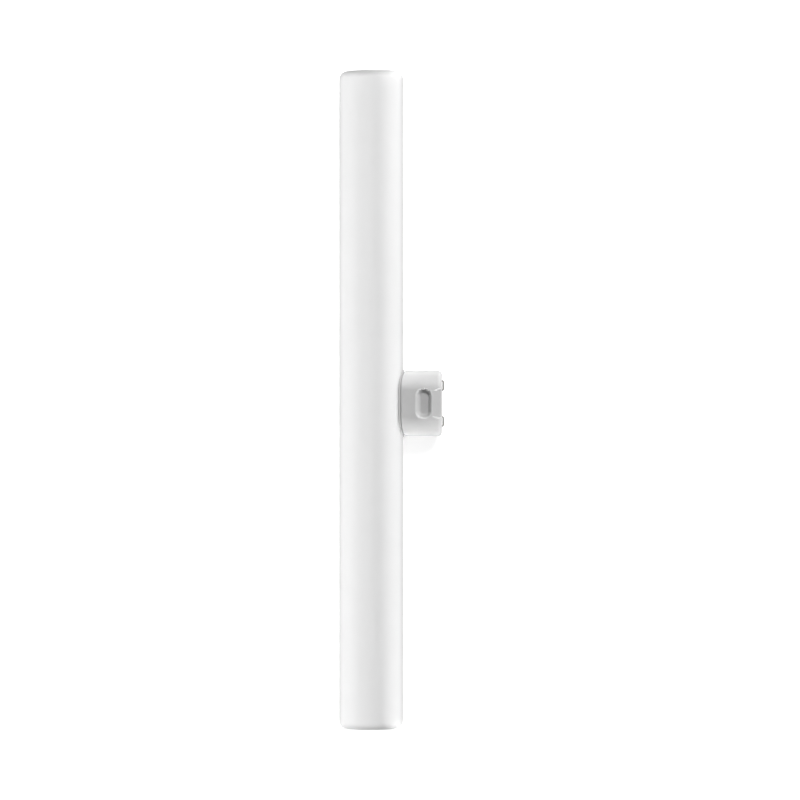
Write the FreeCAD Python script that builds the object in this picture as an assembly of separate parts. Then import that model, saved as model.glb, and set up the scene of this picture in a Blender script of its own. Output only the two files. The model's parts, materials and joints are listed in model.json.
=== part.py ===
import FreeCAD, Part
import math
import os

# Opal tubular lamp with one flat-sided cap at the middle of its length.
# Sizes are in millimetres and angles in degrees.
# The lamp is drawn about the tube's axis: X along the cap's reach, Y along the tube, Z across the cap's flats.
# It is then turned about that axis until the cap's end edge rests on the floor beside the tube.

# Opal tube, a sealed shell
tube_length = 300.0
tube_diameter = 29.2
tube_end_radius = 3.5
tube_wall = 1.2

# Cap body, a thick oval with two flats
cap_length = 30.0
cap_thickness = 14.8
cap_height = 17.7
cap_shift = -1.6
end_round = 9.1
tip_relief = 0.8
end_edge_radius = 2.0

# Collar that saddles the tube
collar_overhang = 0.5
collar_height = 0.5
collar_bevel = 0.12
groove_width = 0.5
groove_depth = 0.5

# Detent pocket in each flat, with walls that ease into the flat and the floor
pocket_width = 7.75
pocket_length = 14.4
pocket_depth = 2.4
pocket_corner_radius = 3.6
pocket_floor_radius = 1.2
inner_wall_run = 2.7
crest_wall_run = 1.8
side_wall_run = 2.6
wall_steps = 6

# Lead-in ramp from the pocket's crest to the cap's end
ramp_length = 4.55
ramp_width = 11.8
ramp_angle = 16.0
ramp_wall_angle = 53.0
ramp_edge_radius = 1.0
crest_drop = 0.04

# Formed contact strips and their slots
contact_spacing = 16.4
contact_length = 4.9
contact_width = 6.0
contact_thickness = 0.65
contact_bend_radius = 0.3
contact_gap = 0.3
contact_leg_depth = 4.0
slot_clearance = 0.1

# Cutters reach this far past the faces that they open
overrun = 1.0

tube_radius = tube_diameter / 2
cap_end = tube_radius + cap_height
flat_height = cap_thickness / 2
flat_half_length = cap_length / 2 - end_round
crest_x = cap_end - ramp_length


def vec(x, y, z):
    return FreeCAD.Vector(x, y, z)


def arc(start, middle, end):
    return Part.Arc(start, middle, end).toShape()


def line(start, end):
    return Part.LineSegment(start, end).toShape()


def oval_prism(grow, reach):
    """Cap's section, grown outwards all round, from the tube's axis to the given reach."""
    tip_radius = cap_thickness / 2 - tip_relief + grow
    half_thickness = cap_thickness / 2 + grow
    tip_centre = end_round - (cap_thickness / 2 - tip_relief)
    flank_radius = (tip_centre ** 2 + half_thickness ** 2 - tip_radius ** 2) / (2 * tip_relief)
    flank_drop = flank_radius - half_thickness
    blend_angle = math.atan2(flank_drop, tip_centre)

    def flank(side_y, side_z, angle):
        y = flat_half_length + flank_radius * math.cos(angle)
        z = flank_radius * math.sin(angle) - flank_drop
        return vec(0, side_y * y, side_z * z)

    def tip(side_y, angle):
        y = flat_half_length + tip_centre + tip_radius * math.cos(angle)
        return vec(0, side_y * y, tip_radius * math.sin(angle))

    top_angle = math.pi / 2
    flank_angles = (top_angle, (top_angle + blend_angle) / 2, blend_angle)
    edges = []
    for side_y in (1, -1):
        edges.append(arc(*[flank(side_y, 1, angle) for angle in flank_angles]))
        edges.append(arc(*[tip(side_y, angle) for angle in (blend_angle, 0, -blend_angle)]))
        edges.append(arc(*[flank(side_y, -1, angle) for angle in flank_angles]))
    for side_z in (1, -1):
        edges.append(line(flank(1, side_z, top_angle), flank(-1, side_z, top_angle)))
    wire = Part.Wire(Part.sortEdges(edges)[0])
    return Part.Face(wire).extrude(vec(reach, 0, 0))


def rounded_rectangle(x_low, x_high, half_length, radius, z):
    """Closed wire with rounded corners in a plane parallel to the flats."""
    turn = radius * (1 - math.sqrt(0.5))
    corners = [(x_low, -half_length, 1, 1), (x_high, -half_length, -1, 1)]
    corners += [(x_high, half_length, -1, -1), (x_low, half_length, 1, -1)]
    stretches = []
    for index, (x, y, to_x, to_y) in enumerate(corners):
        on_x = vec(x + to_x * radius, y, z)
        on_y = vec(x, y + to_y * radius, z)
        middle = vec(x + to_x * turn, y + to_y * turn, z)
        first, last = (on_y, on_x) if index % 2 == 0 else (on_x, on_y)
        stretches.append((first, middle, last))
    edges = []
    for index, (first, middle, last) in enumerate(stretches):
        edges.append(arc(first, middle, last))
        edges.append(line(last, stretches[(index + 1) % 4][0]))
    return Part.Wire(edges)


def pocket_wire(run, rise):
    """Pocket's outline at shares of its walls' run and rise, both 0 at the floor and 1 at the flat."""
    low = crest_x - pocket_width + inner_wall_run * (1 - run)
    high = crest_x - crest_wall_run * (1 - run)
    half_length = pocket_length / 2 - side_wall_run * (1 - run)
    radius = pocket_floor_radius + (pocket_corner_radius - pocket_floor_radius) * run
    return rounded_rectangle(low, high, half_length, radius, flat_height - pocket_depth * (1 - rise))


def pocket_cutter():
    """Walls in short slopes, steepest at mid height, and the last slope goes on above the flat."""
    shares = []
    for step in range(wall_steps + 1):
        run = step / wall_steps
        shares.append((run, run ** 2 * (3 - 2 * run)))
    last_slope = (1 - shares[-2][1]) * wall_steps
    spare = overrun / pocket_depth
    shares[-1] = (1 + spare / last_slope, 1 + spare)
    return Part.makeLoft([pocket_wire(run, rise) for run, rise in shares], True, True)


def ramp_cutter():
    """Sloping floor with a rounded end edge, between two drafted walls."""
    slope = math.radians(ramp_angle)
    start = vec(crest_x, 0, flat_height - crest_drop)
    centre_x = cap_end - ramp_edge_radius
    floor_at_centre = start.z - (centre_x - start.x) * math.tan(slope)
    centre_z = floor_at_centre - ramp_edge_radius / math.cos(slope)

    def rim(angle):
        x = centre_x + ramp_edge_radius * math.sin(angle)
        return vec(x, 0, centre_z + ramp_edge_radius * math.cos(angle))

    top_z = flat_height + overrun
    end = rim(math.pi / 2)
    outside = vec(end.x + overrun, 0, end.z)
    above = vec(outside.x, 0, top_z)
    behind = vec(start.x - (top_z - start.z) * math.tan(slope), 0, top_z)
    outline = [line(start, rim(slope))]
    outline.append(arc(rim(slope), rim((slope + math.pi / 2) / 2), end))
    outline += [line(end, outside), line(outside, above), line(above, behind), line(behind, start)]
    profile = Part.Face(Part.Wire(outline))
    profile.translate(vec(0, -cap_length / 2, 0))
    floor = profile.extrude(vec(0, cap_length, 0))

    widen = math.tan(math.radians(ramp_wall_angle))
    below = ramp_width / 2 / widen
    rise = ramp_length * math.tan(slope) + 2 * overrun
    half_width = (below + rise) * widen
    points = [vec(0, 0, -below), vec(0, half_width, rise), vec(0, -half_width, rise)]
    between = Part.Face(Part.makePolygon(points + points[:1]))
    between = between.extrude(vec(3 * ramp_length, 0, 0))
    between.translate(vec(-ramp_length, 0, 0))
    between.rotate(vec(0, 0, 0), vec(0, 1, 0), ramp_angle)
    between.translate(start)
    return floor.common(between)


def contact_leg_offset():
    return (contact_length - contact_thickness) / 2


def slot_cutter(y):
    width = contact_thickness + 2 * slot_clearance
    breadth = contact_width + 2 * slot_clearance
    corner = vec(cap_end - contact_leg_depth, y - width / 2, -breadth / 2)
    return Part.makeBox(contact_leg_depth + overrun, width, breadth, corner)


def edges_at_reach(shape, reach):
    """Edges that lie wholly in the plane across the cap at the given reach."""
    chosen = []
    for edge in shape.Edges:
        box = edge.BoundBox
        if abs(box.XMin - reach) < 1e-4 and abs(box.XMax - reach) < 1e-4:
            chosen.append(edge)
    return chosen


def cylinder_about_axis(radius, length):
    return Part.makeCylinder(radius, length, vec(0, -length / 2, 0), vec(0, 1, 0))


def circles(shape):
    return [edge for edge in shape.Edges if isinstance(edge.Curve, Part.Circle)]


def opal_tube():
    """Closed shell, rounded outside at both ends and bevelled inside to keep its wall there."""
    outside = cylinder_about_axis(tube_radius, tube_length)
    outside = outside.makeFillet(tube_end_radius, circles(outside))
    inside = cylinder_about_axis(tube_radius - tube_wall, tube_length - 2 * tube_wall)
    inner_bevel = (2 - math.sqrt(2)) * (tube_end_radius - tube_wall)
    inside = inside.makeChamfer(inner_bevel, circles(inside))
    return outside.cut(inside)


def collar():
    """Foot of the cap: the grown section, topped by a surface that follows the tube."""
    top_radius = tube_radius + collar_height
    foot = oval_prism(collar_overhang, cap_end).common(cylinder_about_axis(top_radius, 2 * cap_length))
    rim = []
    for edge in foot.Edges:
        middle = edge.valueAt((edge.FirstParameter + edge.LastParameter) / 2)
        on_top = abs(math.hypot(middle.x, middle.z) - top_radius) < 1e-4
        if on_top:
            rim.append(edge)
    return foot.makeChamfer(collar_bevel, rim)


def collar_groove():
    """Narrow groove round the body where it leaves the collar."""
    foot_radius = tube_radius + collar_height
    ring = cylinder_about_axis(foot_radius + groove_width, 2 * cap_length)
    ring = ring.cut(cylinder_about_axis(foot_radius, 2 * cap_length))
    skin = oval_prism(collar_overhang, cap_end).cut(oval_prism(-groove_depth, cap_end))
    return ring.common(skin)


def side_cap():
    body = oval_prism(0, cap_end)
    body = body.makeFillet(end_edge_radius, edges_at_reach(body, cap_end))
    body = body.fuse(collar())
    body = body.cut(collar_groove())
    body = body.cut(cylinder_about_axis(tube_radius, 2 * cap_length))
    for cutter in (pocket_cutter(), ramp_cutter()):
        mirrored = cutter.mirror(vec(0, 0, 0), vec(0, 0, 1))
        body = body.cut(cutter)
        body = body.cut(mirrored)
    for side in (1, -1):
        for leg in (1, -1):
            body = body.cut(slot_cutter(side * contact_spacing / 2 + leg * contact_leg_offset()))
    body = body.removeSplitter()
    body.translate(vec(0, cap_shift, 0))
    return body


def contact(side):
    """Strip bent into a flat staple, its legs down in the cap's slots."""
    foot = cap_end - contact_leg_depth
    height = contact_leg_depth + contact_gap + contact_thickness
    corner = vec(foot, -contact_length / 2, -contact_width / 2)
    strip = Part.makeBox(height, contact_length, contact_width, corner)
    strip = strip.makeFillet(contact_bend_radius + contact_thickness, upright_edges(strip, foot + height))
    inner_height = height - contact_thickness
    inner_length = contact_length - 2 * contact_thickness
    corner = vec(foot, -inner_length / 2, -contact_width / 2)
    hollow = Part.makeBox(inner_height, inner_length, contact_width, corner)
    hollow = hollow.makeFillet(contact_bend_radius, upright_edges(hollow, foot + inner_height))
    strip = strip.cut(hollow)
    strip.translate(vec(0, cap_shift + side * contact_spacing / 2, 0))
    return strip


def upright_edges(box, reach):
    """Edges across the cap's thickness at the given reach."""
    chosen = []
    for edge in edges_at_reach(box, reach):
        if edge.BoundBox.ZLength > edge.BoundBox.YLength:
            chosen.append(edge)
    return chosen


def turned(shape, angle):
    copy = shape.copy()
    copy.rotate(vec(0, 0, 0), vec(0, 1, 0), angle)
    return copy


def resting_angle(cap):
    """Turn about the tube's axis that brings the cap down to the floor under the tube."""
    angle = 0.0
    for step in range(6):
        gap = turned(cap, angle).optimalBoundingBox(False, False).ZMin + tube_radius
        angle += math.degrees(math.atan2(gap, cap_end))
    return angle


def main():
    pieces = {"opal_tube": opal_tube(), "side_cap": side_cap()}
    pieces["contact_upper"] = contact(1)
    pieces["contact_lower"] = contact(-1)

    angle = resting_angle(pieces["side_cap"])
    pieces = {name: turned(shape, angle) for name, shape in pieces.items()}
    box = Part.makeCompound(list(pieces.values())).optimalBoundingBox(False, False)
    to_origin = vec(-(box.XMin + box.XMax) / 2, 0, tube_radius)

    os.makedirs("parts", exist_ok=True)
    for name, shape in pieces.items():
        shape.translate(to_origin)
        shape.exportStep("parts/" + name + ".step")
    print("resting angle", round(angle, 3), "tube axis at x", round(to_origin.x, 4))


main()
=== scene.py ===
import json
import math

import bmesh
import bpy
from bpy.props import FloatProperty, FloatVectorProperty, PointerProperty
from mathutils import Matrix, Vector


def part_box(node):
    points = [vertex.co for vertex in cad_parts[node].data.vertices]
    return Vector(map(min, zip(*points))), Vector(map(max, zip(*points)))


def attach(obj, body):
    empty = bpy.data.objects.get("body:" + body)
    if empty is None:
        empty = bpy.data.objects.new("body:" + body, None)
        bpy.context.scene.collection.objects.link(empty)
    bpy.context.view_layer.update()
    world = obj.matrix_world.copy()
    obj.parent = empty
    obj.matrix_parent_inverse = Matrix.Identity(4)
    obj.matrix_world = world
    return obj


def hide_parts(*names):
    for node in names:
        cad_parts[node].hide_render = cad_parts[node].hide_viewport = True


bl_info = {
    "name": "Opal tubular lamp",
    "version": (1, 0, 0),
    "blender": (4, 5, 0),
    "location": "View3D > Sidebar > Lamp",
    "description": "Dresses an opal tubular lamp with a side cap, and sets its studio",
    "category": "Object",
}

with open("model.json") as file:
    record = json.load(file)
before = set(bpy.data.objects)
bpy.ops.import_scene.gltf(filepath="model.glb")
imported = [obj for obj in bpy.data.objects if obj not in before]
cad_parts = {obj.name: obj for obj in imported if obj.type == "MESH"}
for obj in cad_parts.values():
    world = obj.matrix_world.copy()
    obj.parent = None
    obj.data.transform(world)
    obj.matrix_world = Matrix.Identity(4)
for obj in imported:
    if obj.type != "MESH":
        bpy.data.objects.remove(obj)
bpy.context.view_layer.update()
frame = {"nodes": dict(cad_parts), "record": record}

MM = 0.001

# The CAD pieces
TUBE_LOW, TUBE_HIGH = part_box("opal_tube")
TUBE_RADIUS = (TUBE_HIGH.z - TUBE_LOW.z) / 2
TUBE_LENGTH = TUBE_HIGH.y - TUBE_LOW.y
TUBE_AXIS = Vector(((TUBE_LOW.x + TUBE_HIGH.x) / 2, 0, TUBE_LOW.z + TUBE_RADIUS))
CAP_LOW, CAP_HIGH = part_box("side_cap")
CAP_LENGTH = CAP_HIGH.y - CAP_LOW.y

# Facets of the tube's envelope, round the tube and round the radius of each rim
TUBE_FACETS = 128
RIM_FACETS = 8

# Facings between which the painted outline shade comes in, from 0 for a surface seen straight on to
# 1 at its outline
TUBE_SLANT = (0.44, 0.95)
CAP_SLANT = (0.45, 0.7)

# Distances from the cap's ends between which its painted edge shade comes in
CAP_EDGE = (4 * MM, 1 * MM)

# Width of a patch of thin plating, and how many times longer than wide a rolling mark is
PLATING_PATCH = 2 * MM
MARK_STRETCH = 20

# The floor, the squares along its side, and the size and tone of the patches in its paint
FLOOR_SIZE = 8.0
FLOOR_SQUARES = 4
FLOOR_PATCH = 0.15
FLOOR_SHADE = 0.985

# Softboxes: name of the level, then azimuth and elevation in degrees
SOFTBOXES = (("key", 50, 40), ("left", 206, 26), ("right", 0, 6))
SOFTBOX_SIZE = (1.4, 1.0)
SOFTBOX_DISTANCE = 5.0

# Gridded lamps: name of the level and azimuth in degrees, then what they share. They aim a little
# beyond the middle of the cap's box, towards the contacts.
SKIMMERS = (("near", -90), ("far", 90))
SKIMMER_SIZE = 30 * MM
SKIMMER_DISTANCE = 0.5
SKIMMER_ELEVATION = 2
SKIMMER_SPREAD = 1
SKIMMER_OFFSET = 5 * MM

# The camera: width of its sensor in mm, and how far it sees in metres
SENSOR_WIDTH = 36.0
CLIP_END = 50.0


def cap_direction():
    """Way that the cap points out of the tube, from the record's plug-in mount."""
    for mount in frame["record"]["mounts"]:
        if mount["name"] == "cap_plug":
            return Vector(mount["axis"]).normalized()
    raise RuntimeError("the record has no mount named cap_plug")


CAP_OUT = cap_direction()
ALONG = Vector((0, 1, 0))
FLAT_UP = CAP_OUT.cross(ALONG).normalized()


def linear(hex_colour):
    """Linear red, green and blue of an sRGB hex colour."""
    channels = [int(hex_colour[i:i + 2], 16) / 255 for i in (1, 3, 5)]
    return tuple(c / 12.92 if c <= 0.04045 else ((c + 0.055) / 1.055) ** 2.4 for c in channels)


def colour_prop(name, description, hex_colour):
    """Property for a colour."""
    return FloatVectorProperty(name=name, description=description, default=linear(hex_colour),
                               subtype="COLOR", min=0, max=1)


def length_prop(name, description, metres):
    """Property for a length."""
    return FloatProperty(name=name, description=description, default=metres, min=0,
                         unit="LENGTH", subtype="DISTANCE")


def level_prop(name, description, level):
    """Property for a level of light."""
    return FloatProperty(name=name, description=description, default=level, min=0,
                         subtype="FACTOR")


class LampTubeSettings(bpy.types.PropertyGroup):
    body: colour_prop("Opal", "Colour of the opal plastic", "#F6F6F6")
    cloud: colour_prop("Cloud", "Slightly denser opal between the clear patches", "#F5F5F5")
    # Painted shade: the rim colour darkens the tube at its plugged ends and along its outline.
    rim: colour_prop("Rim", "Tone at the plugged ends, and where the wall is seen at a slant",
                     "#D4D4D4")
    cloud_size: length_prop("Cloud size", "Width of one cloudy patch in the opal", 14 * MM)
    depth: length_prop("Scatter depth", "How far light spreads under the surface", 4 * MM)
    end_radius: length_prop("End radius", "Radius of the tube's two rims", 3.5 * MM)
    grain: length_prop("Grain", "Spacing of the satin texture, drawn coarse", 0.5 * MM)


class LampCapSettings(bpy.types.PropertyGroup):
    body: colour_prop("Cap", "Colour of the moulded cap", "#D2D2D2")
    flow: colour_prop("Flow", "Slightly duller plastic along the mould's flow", "#CFCFCF")
    # Painted shade: the edge colour darkens the cap's rounded ends at their outline.
    edge: colour_prop("Edge", "Tone of the rounded ends, where they are seen at a slant",
                      "#BEBEBE")
    # Painted shade: the collar colour darkens the collar and its groove along the tube.
    collar: colour_prop("Collar", "Greyer, thin plastic of the collar and its groove", "#B6B6B6")
    collar_reach: length_prop("Collar reach", "How far the collar's tone goes out from the tube",
                              0.8 * MM)
    flow_size: length_prop("Flow size", "Width of one flow mark", 6 * MM)
    grain: length_prop("Grain", "Spacing of the spark-eroded texture, drawn coarse", 0.22 * MM)


class LampContactSettings(bpy.types.PropertyGroup):
    body: colour_prop("Nickel", "Colour of the nickel plating", "#9A9A99")
    worn: colour_prop("Brass", "Warmer metal where the plating is thin", "#96938E")
    streak: length_prop("Streak", "Spacing of the rolling marks, drawn coarse", 0.12 * MM)


class LampStageSettings(bpy.types.PropertyGroup):
    floor: colour_prop("Floor", "Colour of the matt board under the lamp", "#E6E6E6")
    floor_lift: level_prop("Floor lift", "Light added to the board where it is seen, so that it "
                           "reads white", 0.7)
    fill: level_prop("Fill", "Light from the whole room, as a white surface would render it", 0.02)
    key: level_prop("Key", "Level of the softbox at the cap's upper right", 0.6)
    left: level_prop("Left", "Level of the softbox low on the tube's side", 0.91)
    right: level_prop("Right", "Level of the softbox low on the cap's side", 0.36)
    near: level_prop("Near", "Level of the gridded lamp that skims the cap from the tube's near "
                     "end", 1.12)
    far: level_prop("Far", "Level of the gridded lamp that skims the cap from the tube's far end",
                    0.6)
    lens: FloatProperty(name="Lens", description="Focal length of the camera", default=200,
                        unit="CAMERA", min=1)
    view_height: length_prop("View height", "Height that the frame covers at the tube's axis",
                             0.3655)
    view_shift: length_prop("View shift", "Frame's centre, from the tube's axis towards the cap",
                            13.15 * MM)


class Lamp(bpy.types.PropertyGroup):
    tube: PointerProperty(type=LampTubeSettings, name="Tube", description="Opal tube")
    cap: PointerProperty(type=LampCapSettings, name="Cap", description="Moulded side cap")
    contact: PointerProperty(type=LampContactSettings, name="Contacts",
                             description="Pressed contacts")
    stage: PointerProperty(type=LampStageSettings, name="Stage",
                           description="Floor, lamps and camera")


def settings():
    """The scene's sizes, colours and levels."""
    return bpy.context.scene.tubular_lamp


def new_material(name):
    """Empty node-based material, and its tree."""
    material = bpy.data.materials.new(name)
    material.use_nodes = True
    material.node_tree.nodes.clear()
    return material, material.node_tree


def add_node(tree, kind, values=None, links=None, **attributes):
    """Adds a node with its attributes and socket values, and links other nodes' sockets to it."""
    node = tree.nodes.new(kind)
    for name, value in attributes.items():
        setattr(node, name, value)
    for key, value in (values or {}).items():
        node.inputs[key].default_value = value
    for key, output in (links or {}).items():
        tree.links.new(output, node.inputs[key])
    return node


def four(colour):
    """Colour with an alpha of 1, as a socket takes it."""
    return (*colour, 1.0)


def two_tone(tree, place, first, second, size):
    """Soft patches of two close colours, about size metres wide."""
    noise = add_node(tree, "ShaderNodeTexNoise", {"Scale": 1 / size, "Detail": 2.0},
                     {"Vector": place})
    # The noise seldom leaves this range, so both colours are reached
    ramp = add_node(tree, "ShaderNodeMapRange", {"From Min": 0.35, "From Max": 0.65},
                    {"Value": noise.outputs["Fac"]}, interpolation_type="SMOOTHSTEP")
    mix = add_node(tree, "ShaderNodeMix", {"A": four(first), "B": four(second)},
                   {"Factor": ramp.outputs["Result"]}, data_type="RGBA")
    return mix.outputs["Result"]


def grain_bump(tree, place, size, height):
    """Fine, even texture, size metres from bump to bump."""
    noise = add_node(tree, "ShaderNodeTexNoise", {"Scale": 1 / size, "Detail": 3.0},
                     {"Vector": place})
    bump = add_node(tree, "ShaderNodeBump", {"Strength": 1.0, "Distance": height},
                    {"Height": noise.outputs["Fac"]})
    return bump.outputs["Normal"]


def rough_patches(tree, place, size, low, high):
    """Roughness that wanders between two values, in patches about size metres wide."""
    noise = add_node(tree, "ShaderNodeTexNoise", {"Scale": 1 / size, "Detail": 3.0},
                     {"Vector": place})
    spread = add_node(tree, "ShaderNodeMapRange", {"To Min": low, "To Max": high},
                      {"Value": noise.outputs["Fac"]})
    return spread.outputs["Result"]


def near_ends(tree, place, start, full):
    """0 along the middle of a piece and 1 at its ends, with a soft change between two distances."""
    along = add_node(tree, "ShaderNodeSeparateXYZ", links={"Vector": place})
    reach = add_node(tree, "ShaderNodeMath", links={0: along.outputs["Y"]}, operation="ABSOLUTE")
    ends = add_node(tree, "ShaderNodeMapRange", {"From Min": start, "From Max": full},
                    {"Value": reach.outputs["Value"]}, interpolation_type="SMOOTHSTEP")
    return ends.outputs["Result"]


def at_slant(tree, facings):
    """Mask of painted shade at the outline: 0 where a surface is seen straight on and 1 at its
    outline, with a soft change between.
    """
    start, full = facings
    weight = add_node(tree, "ShaderNodeLayerWeight", {"Blend": 0.5})
    slant = add_node(tree, "ShaderNodeMapRange", {"From Min": start, "From Max": full},
                     {"Value": weight.outputs["Facing"]}, interpolation_type="SMOOTHSTEP")
    return slant.outputs["Result"]


def opal_material(values):
    # Opal polycarbonate, extruded with a satin-matt skin: milky and soft, as light spreads under
    # its surface, with a broad, weak sheen and no sharp reflections. A painted shade darkens it at
    # the plugged ends, and along its sides, where the wall is seen at a slant. The skin's real
    # grain is a few hundredths of a millimetre, too fine to show, so it is drawn coarser.
    material, tree = new_material("opal_polycarbonate_satin")
    place = add_node(tree, "ShaderNodeTexCoord").outputs["Object"]
    painted_end_shade = near_ends(tree, place, TUBE_LENGTH / 2 - values.end_radius, TUBE_LENGTH / 2)
    # Painted shade at the plugged ends and along the outline, where the wall is seen at a slant.
    painted_shade = add_node(tree, "ShaderNodeMath", links={0: painted_end_shade, 1: at_slant(tree, TUBE_SLANT)},
                    operation="MAXIMUM")
    milk = two_tone(tree, place, values.body, values.cloud, values.cloud_size)
    colour = add_node(tree, "ShaderNodeMix", {"B": four(values.rim)},
                      {"Factor": painted_shade.outputs["Value"], "A": milk}, data_type="RGBA")
    shader = add_node(
        tree, "ShaderNodeBsdfPrincipled",
        {"IOR": 1.58, "Subsurface Weight": 1.0, "Subsurface Radius": (1.0, 1.0, 1.0),
         "Subsurface Scale": values.depth},
        {"Base Color": colour.outputs["Result"],
         "Roughness": rough_patches(tree, place, values.cloud_size / 2, low=0.76, high=0.84),
         "Normal": grain_bump(tree, place, values.grain, height=0.004 * MM)},
    )
    add_node(tree, "ShaderNodeOutputMaterial", links={"Surface": shader.outputs["BSDF"]})
    return material


def cap_material(values, middle):
    # White polyester resin, injection moulded against a fine spark-eroded mould: opaque and even,
    # with a soft gloss that breaks up in a tiny grain. The real grain is under a tenth of a
    # millimetre, too fine to show, so it is drawn coarser. Painted shade darkens the thin collar
    # along the tube and its groove, and the two rounded ends at their outline. The middle is the
    # point of the tube's axis beside the middle of the cap.
    material, tree = new_material("polyester_moulded_fine_texture")
    place = add_node(tree, "ShaderNodeTexCoord").outputs["Object"]
    offset = add_node(tree, "ShaderNodeVectorMath", {1: middle}, {0: place},
                      operation="SUBTRACT").outputs["Vector"]
    across = add_node(tree, "ShaderNodeVectorMath", {1: (1, 0, 1)}, {0: offset},
                      operation="MULTIPLY")
    reach = add_node(tree, "ShaderNodeVectorMath", links={0: across.outputs["Vector"]},
                     operation="LENGTH")
    # Mask of the painted shade in the crease: 0 on the collar and its groove next to the tube.
    clear = add_node(tree, "ShaderNodeMapRange",
                     {"From Min": TUBE_RADIUS + values.collar_reach / 2,
                      "From Max": TUBE_RADIUS + values.collar_reach},
                     {"Value": reach.outputs["Value"]}, interpolation_type="SMOOTHSTEP")
    # Painted shade on the cap's rounded ends, where they are seen at a slant.
    start, full = (CAP_LENGTH / 2 - distance for distance in CAP_EDGE)
    painted_shade = add_node(tree, "ShaderNodeMath",
                    links={0: near_ends(tree, offset, start, full), 1: at_slant(tree, CAP_SLANT)},
                    operation="MULTIPLY")
    moulded = two_tone(tree, place, values.body, values.flow, values.flow_size)
    edge_shaded = add_node(tree, "ShaderNodeMix", {"B": four(values.edge)},
                     {"Factor": painted_shade.outputs["Value"], "A": moulded}, data_type="RGBA")
    # Paints the crease shade over the collar and its groove.
    colour = add_node(tree, "ShaderNodeMix", {"A": four(values.collar)},
                      {"Factor": clear.outputs["Result"], "B": edge_shaded.outputs["Result"]},
                      data_type="RGBA")
    shader = add_node(
        tree, "ShaderNodeBsdfPrincipled",
        {"IOR": 1.55},
        {"Base Color": colour.outputs["Result"],
         "Roughness": rough_patches(tree, place, values.flow_size / 2, low=0.46, high=0.52),
         "Normal": grain_bump(tree, place, values.grain, height=0.003 * MM)},
    )
    add_node(tree, "ShaderNodeOutputMaterial", links={"Surface": shader.outputs["BSDF"]})
    return material


def contact_material(values):
    # Brass strip, rolled, pressed and nickel plated: a grey metal with faint lengthwise marks,
    # a little warmer where the plating is thin. The real marks are a few hundredths of a
    # millimetre apart, too fine to show, so they are drawn coarser.
    material, tree = new_material("nickel_plated_brass_pressed")
    place = add_node(tree, "ShaderNodeTexCoord").outputs["Object"]
    marks = add_node(tree, "ShaderNodeMapping", {"Scale": (1.0, 1 / MARK_STRETCH, 1.0)},
                     {"Vector": place}).outputs["Vector"]
    shader = add_node(
        tree, "ShaderNodeBsdfPrincipled",
        {"Metallic": 1.0},
        {"Base Color": two_tone(tree, place, values.body, values.worn, PLATING_PATCH),
         "Roughness": rough_patches(tree, marks, values.streak, low=0.24, high=0.38),
         "Normal": grain_bump(tree, marks, values.streak, height=0.002 * MM)},
    )
    add_node(tree, "ShaderNodeOutputMaterial", links={"Surface": shader.outputs["BSDF"]})
    return material


def dress(name, material):
    """Gives a CAD node its finish."""
    piece = frame["nodes"][name]
    piece.data.materials.clear()
    piece.data.materials.append(material)


def add_object(name, data):
    """Object in the scene that shows the data."""
    item = bpy.data.objects.new(name, data)
    bpy.context.scene.collection.objects.link(item)
    return item


def add_mesh(name, mesh, material):
    """Object in the scene from a finished bmesh."""
    data = bpy.data.meshes.new(name)
    mesh.to_mesh(data)
    mesh.free()
    data.materials.append(material)
    return add_object(name, data)


def tube_profile(radius, half_length, end_radius):
    """Half outline of the tube, from the middle of one end to the middle of the other."""
    points = [(0.0, -half_length)]
    for end in (-1, 1):
        for step in range(RIM_FACETS + 1):
            turn = math.pi / 2 * step / RIM_FACETS
            if end > 0:
                turn = math.pi / 2 - turn
            out = radius - end_radius + end_radius * math.sin(turn)
            points.append((out, end * (half_length - end_radius + end_radius * math.cos(turn))))
    points.append((0.0, half_length))
    return points


def lathe(profile):
    """Solid of revolution about the tube's axis, from points of radius and place along it."""
    mesh = bmesh.new()
    rings = []
    for radius, along in profile:
        centre = TUBE_AXIS + ALONG * along
        if radius == 0:
            rings.append([mesh.verts.new(centre)])
            continue
        ring = []
        for index in range(TUBE_FACETS):
            turn = 2 * math.pi * index / TUBE_FACETS
            out = Vector((math.cos(turn), 0, math.sin(turn)))
            ring.append(mesh.verts.new(centre + out * radius))
        rings.append(ring)
    for first, second in zip(rings, rings[1:]):
        for index in range(TUBE_FACETS):
            after = (index + 1) % TUBE_FACETS
            corners = [first[index % len(first)], first[after % len(first)],
                       second[after % len(second)], second[index % len(second)]]
            # A ring of one point gives that corner twice
            mesh.faces.new(list(dict.fromkeys(corners)))
    bmesh.ops.recalc_face_normals(mesh, faces=mesh.faces)
    return mesh


class LAMP_OT_tube(bpy.types.Operator):
    """Make the opal tube with its rounded rims and satin finish"""
    bl_idname = "lamp.tube"
    bl_label = "Opal tube"

    def execute(self, context):
        values = settings().tube
        mesh = lathe(tube_profile(TUBE_RADIUS, TUBE_LENGTH / 2, values.end_radius))
        piece = add_mesh("opal_envelope", mesh, opal_material(values))
        piece.data.shade_smooth()
        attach(piece, "root")
        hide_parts("opal_tube")
        return {"FINISHED"}


class LAMP_OT_cap(bpy.types.Operator):
    """Finish the moulded side cap"""
    bl_idname = "lamp.cap"
    bl_label = "Side cap"

    def execute(self, context):
        middle = TUBE_AXIS + ALONG * (CAP_LOW.y + CAP_HIGH.y) / 2
        inside = frame["nodes"]["side_cap"].matrix_world.inverted() @ middle
        dress("side_cap", cap_material(settings().cap, inside))
        return {"FINISHED"}


class LAMP_OT_contacts(bpy.types.Operator):
    """Finish the two pressed contacts"""
    bl_idname = "lamp.contacts"
    bl_label = "Contacts"

    def execute(self, context):
        material = contact_material(settings().contact)
        for name in ("contact_upper", "contact_lower"):
            dress(name, material)
        return {"FINISHED"}


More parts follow.
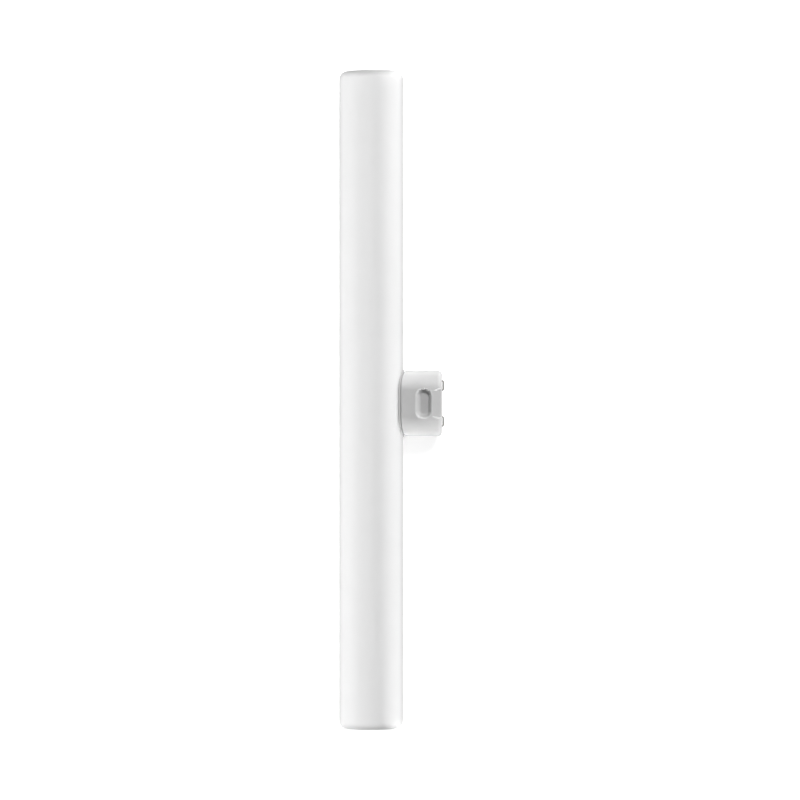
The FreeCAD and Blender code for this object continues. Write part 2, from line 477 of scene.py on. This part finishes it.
def seen_ray(tree):
    """1 for a ray that shows the surroundings: to the camera, in gloss or through glass."""
    path = add_node(tree, "ShaderNodeLightPath")
    most = path.outputs["Is Camera Ray"]
    for name in ("Is Glossy Ray", "Is Transmission Ray"):
        larger = add_node(tree, "ShaderNodeMath", links={0: most, 1: path.outputs[name]},
                          operation="MAXIMUM")
        most = larger.outputs["Value"]
    return most


def floor_material(values):
    # Matt painted board: an even, chalky white with no gloss, which keeps the soft shadow.
    material, tree = new_material("painted_board_matt")
    place = add_node(tree, "ShaderNodeTexCoord").outputs["Object"]
    darker = [channel * FLOOR_SHADE for channel in values.floor]
    matt = add_node(tree, "ShaderNodeBsdfDiffuse", {"Roughness": 0.5},
                    {"Color": two_tone(tree, place, values.floor, darker, FLOOR_PATCH)})
    strength = add_node(tree, "ShaderNodeMath", {1: values.floor_lift}, {0: seen_ray(tree)},
                        operation="MULTIPLY")
    lift = add_node(tree, "ShaderNodeEmission", links={"Strength": strength.outputs["Value"]})
    both = add_node(tree, "ShaderNodeAddShader",
                    links={0: matt.outputs["BSDF"], 1: lift.outputs["Emission"]})
    add_node(tree, "ShaderNodeOutputMaterial", links={"Surface": both.outputs["Shader"]})
    return material


def add_floor(values):
    """Wide board that the lamp lies on."""
    mesh = bmesh.new()
    bmesh.ops.create_grid(mesh, x_segments=FLOOR_SQUARES, y_segments=FLOOR_SQUARES,
                          size=FLOOR_SIZE / 2)
    floor = add_mesh("floor", mesh, floor_material(values))


def add_room(values):
    """White surroundings to look at, which light the lamp only with the fill."""
    world = bpy.data.worlds.new("studio_room")
    world.use_nodes = True
    tree = world.node_tree
    tree.nodes.clear()
    strength = add_node(tree, "ShaderNodeMapRange", {"To Min": values.fill, "To Max": 1.0},
                        {"Value": seen_ray(tree)})
    sky = add_node(tree, "ShaderNodeBackground", links={"Strength": strength.outputs["Result"]})
    add_node(tree, "ShaderNodeOutputWorld", links={"Surface": sky.outputs["Background"]})
    bpy.context.scene.world = world


def add_area_lamp(name, azimuth, elevation, size, distance, target, power):
    """Area lamp that the camera doesn't see, aimed at the target from two angles in degrees."""
    light = bpy.data.lights.new(name, "AREA")
    light.shape = "RECTANGLE"
    light.size, light.size_y = size
    light.energy = power
    turn, rise = math.radians(azimuth), math.radians(elevation)
    away = Vector((math.cos(turn) * math.cos(rise), math.sin(turn) * math.cos(rise),
                   math.sin(rise)))
    lamp = add_object(name, light)
    lamp.location = target + away * distance
    lamp.rotation_mode = "QUATERNION"
    lamp.rotation_quaternion = away.to_track_quat("Z", "Y")
    lamp.visible_camera = False
    return lamp


def add_softbox(name, azimuth, elevation, level):
    """Softbox aimed at the tube. Level is what a white surface that faces it renders as."""
    power = level * math.pi ** 2 * SOFTBOX_DISTANCE ** 2
    add_area_lamp(name, azimuth, elevation, SOFTBOX_SIZE, SOFTBOX_DISTANCE, TUBE_AXIS, power)


def add_skimmer(name, azimuth, level):
    """Gridded lamp with no gloss, whose narrow beam runs along the tube and skims the cap."""
    target = Vector(((CAP_LOW.x + CAP_HIGH.x) / 2 + SKIMMER_OFFSET, 0, CAP_HIGH.z))
    power = level * math.pi * SKIMMER_SIZE ** 2
    lamp = add_area_lamp(name, azimuth, SKIMMER_ELEVATION, (SKIMMER_SIZE, SKIMMER_SIZE),
                         SKIMMER_DISTANCE, target, power)
    lamp.data.spread = math.radians(SKIMMER_SPREAD)
    lamp.visible_glossy = False


def add_camera(values):
    """Looks straight at the cap's flat, with the tube upright in the frame."""
    lens = bpy.data.cameras.new("camera")
    lens.lens = values.lens
    lens.sensor_width = SENSOR_WIDTH
    lens.clip_end = CLIP_END
    distance = values.view_height * values.lens / SENSOR_WIDTH
    facing = Matrix((CAP_OUT, ALONG, FLAT_UP)).transposed().to_4x4()
    facing.translation = TUBE_AXIS + CAP_OUT * values.view_shift + FLAT_UP * distance
    camera = add_object("camera", lens)
    camera.matrix_world = facing
    bpy.context.scene.camera = camera


class LAMP_OT_stage(bpy.types.Operator):
    """Set the floor, the lamps, the surroundings and the camera"""
    bl_idname = "lamp.stage"
    bl_label = "Stage"

    def execute(self, context):
        values = settings().stage
        add_floor(values)
        add_room(values)
        for name, azimuth, elevation in SOFTBOXES:
            add_softbox(name + "_softbox", azimuth, elevation, getattr(values, name))
        for name, azimuth in SKIMMERS:
            add_skimmer(name + "_skimmer", azimuth, getattr(values, name))
        add_camera(values)
        context.scene.view_settings.view_transform = "Standard"
        return {"FINISHED"}


OPERATORS = (LAMP_OT_tube, LAMP_OT_cap, LAMP_OT_contacts, LAMP_OT_stage)


class LAMP_PT_panel(bpy.types.Panel):
    """Steps, sizes, colours and levels of the tubular lamp"""
    bl_idname = "LAMP_PT_panel"
    bl_label = "Tubular lamp"
    bl_space_type = "VIEW_3D"
    bl_region_type = "UI"
    bl_category = "Lamp"

    def draw(self, context):
        layout = self.layout
        for operator in OPERATORS:
            layout.operator(operator.bl_idname)
        for part in ("tube", "cap", "contact", "stage"):
            group = getattr(settings(), part)
            box = layout.box()
            box.label(text=part.capitalize())
            for name in group.__annotations__:
                box.prop(group, name)


CLASSES = (LampTubeSettings, LampCapSettings, LampContactSettings, LampStageSettings, Lamp,
           *OPERATORS, LAMP_PT_panel)


def register():
    """Makes the classes and the lamp's settings known to Blender."""
    for item in CLASSES:
        bpy.utils.register_class(item)
    bpy.types.Scene.tubular_lamp = PointerProperty(type=Lamp, name="Tubular lamp",
                                                   description="Sizes and colours of the lamp")


def unregister():
    """Takes the settings and the classes out again."""
    del bpy.types.Scene.tubular_lamp
    for item in reversed(CLASSES):
        bpy.utils.unregister_class(item)


def main():
    """Clears the factory scene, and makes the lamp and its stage."""
    register()
    for name in ("Cube", "Light", "Camera"):
        if name in bpy.data.objects:
            bpy.data.objects.remove(bpy.data.objects[name])
    bpy.ops.lamp.tube()
    bpy.ops.lamp.cap()
    bpy.ops.lamp.contacts()
    bpy.ops.lamp.stage()


if __name__ == "__main__":
    main()
